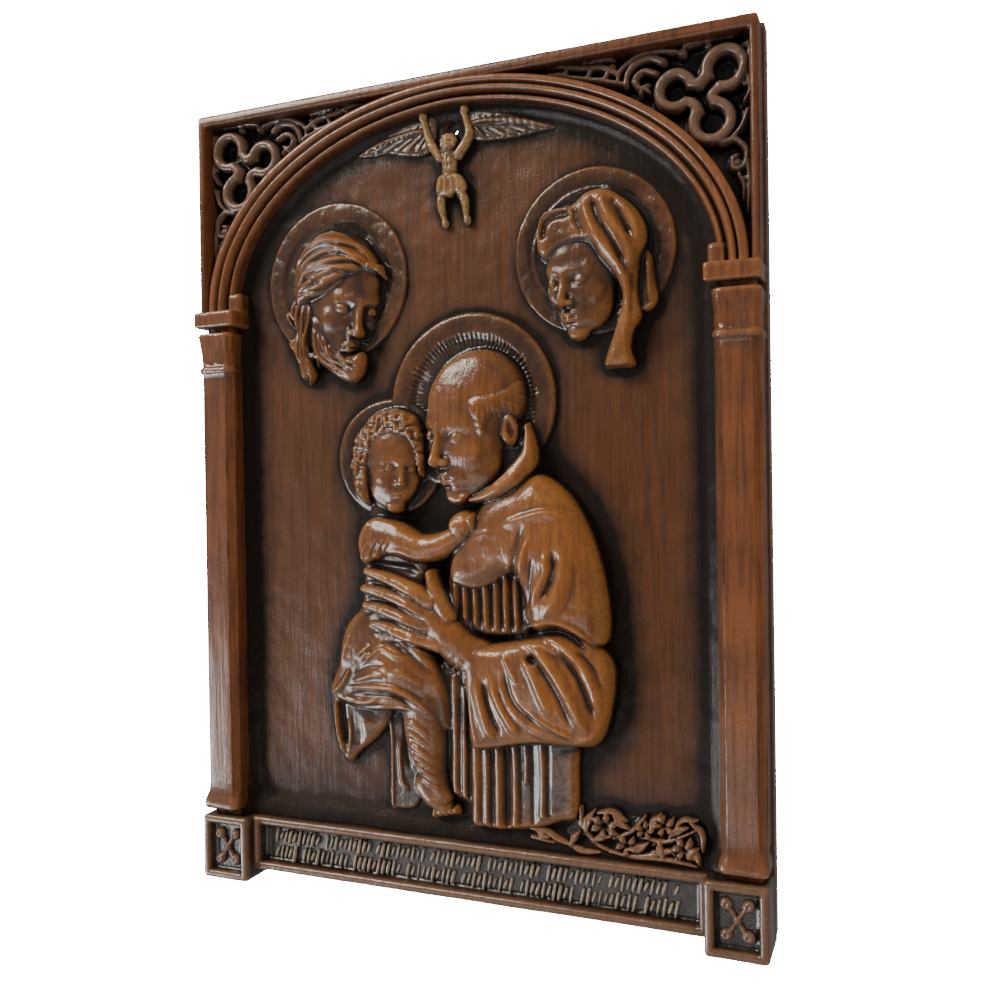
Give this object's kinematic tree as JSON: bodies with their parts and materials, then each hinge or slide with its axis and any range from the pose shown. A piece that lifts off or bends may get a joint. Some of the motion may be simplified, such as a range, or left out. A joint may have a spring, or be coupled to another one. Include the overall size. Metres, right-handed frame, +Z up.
{
  "type": "religious wall plaque",
  "caption": "Arched wall plaque in relief: a friar holding a child between two columns, two haloed heads and a winged figure above, with a nail hole under the crown.",
  "frame": {"origin": "middle of the flat back, where it rests on the wall", "axes": "+Z up, +Y into the wall; the carved front faces -Y, and +X is to the right of someone who looks at the front"},
  "size_m": [0.1198, 0.0133, 0.165],
  "materials": {
    "composition_wood": "stained walnut brown and varnished, with a slight gloss"
  },
  "bodies": {
    "root": {"plaque": "composition_wood"}
  },
  "joints": []
}
